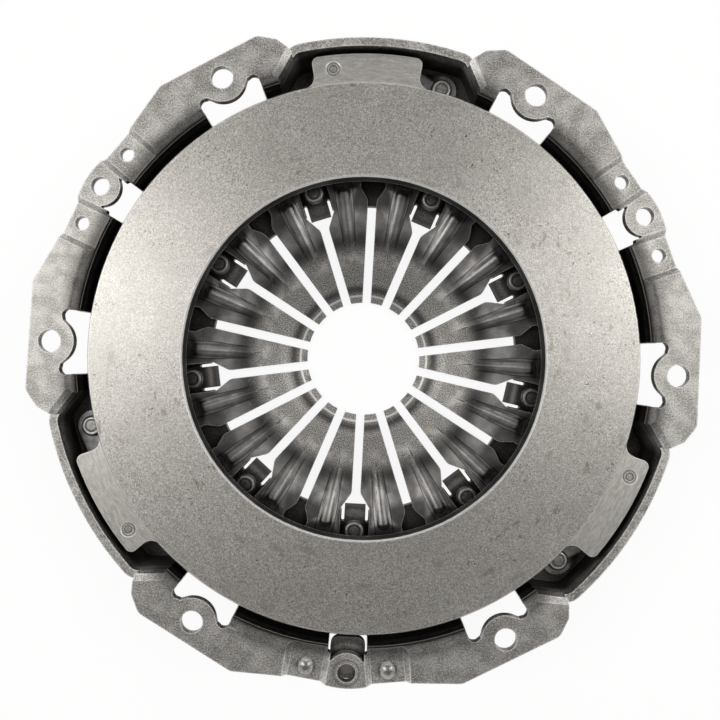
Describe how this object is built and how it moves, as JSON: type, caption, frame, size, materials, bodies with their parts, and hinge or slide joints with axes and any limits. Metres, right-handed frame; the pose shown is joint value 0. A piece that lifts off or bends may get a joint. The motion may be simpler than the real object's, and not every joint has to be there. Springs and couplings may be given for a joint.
{
  "type": "clutch pressure plate",
  "caption": "Round clutch cover with bolt ears and windows, a cast friction ring on drive straps, and a dished, slotted diaphragm spring held between two wire rings.",
  "frame": {"origin": "centre of the bolt circle on the mounting face that meets the flywheel", "axes": "+Z towards the flywheel, along the clutch axis; +Y through one drive lug"},
  "size_m": [0.2952, 0.2863, 0.0453],
  "materials": {
    "cover": "oiled pressed steel",
    "plate": "ground",
    "spring": "burnished spring steel",
    "wire": "bright wire",
    "rivet": "plain steel",
    "strap": "spring steel strip",
    "weight": "plain steel"
  },
  "bodies": {
    "cover": {"cover": "cover", "diaphragm_spring": "spring", "front_fulcrum_ring": "wire", "rear_fulcrum_ring": "wire", "fulcrum_rivets": "rivet", "cover_strap_rivets": "rivet", "balance_weight": "weight", "balance_rivets": "rivet", "strap_1_leaf_1": "strap", "strap_1_leaf_2": "strap", "strap_1_leaf_3": "strap", "strap_1_leaf_4": "strap", "strap_2_leaf_1": "strap", "strap_2_leaf_2": "strap", "strap_2_leaf_3": "strap", "strap_2_leaf_4": "strap", "strap_3_leaf_1": "strap", "strap_3_leaf_2": "strap", "strap_3_leaf_3": "strap", "strap_3_leaf_4": "strap"},
    "plate": {"pressure_plate": "plate", "lug_strap_rivets": "rivet"}
  },
  "joints": [
    {"name": "plate_travel", "type": "slide", "parent": "cover", "child": "plate", "axis": [0, 0, 1], "range_m": [-0.0055, 0], "stiffness_N_per_m": 40000, "springref_m": 0.002, "deforming": ["diaphragm_spring", "strap_1_leaf_1", "strap_1_leaf_2", "strap_1_leaf_3", "strap_1_leaf_4", "strap_2_leaf_1", "strap_2_leaf_2", "strap_2_leaf_3", "strap_2_leaf_4", "strap_3_leaf_1", "strap_3_leaf_2", "strap_3_leaf_3", "strap_3_leaf_4"]}
  ]
}
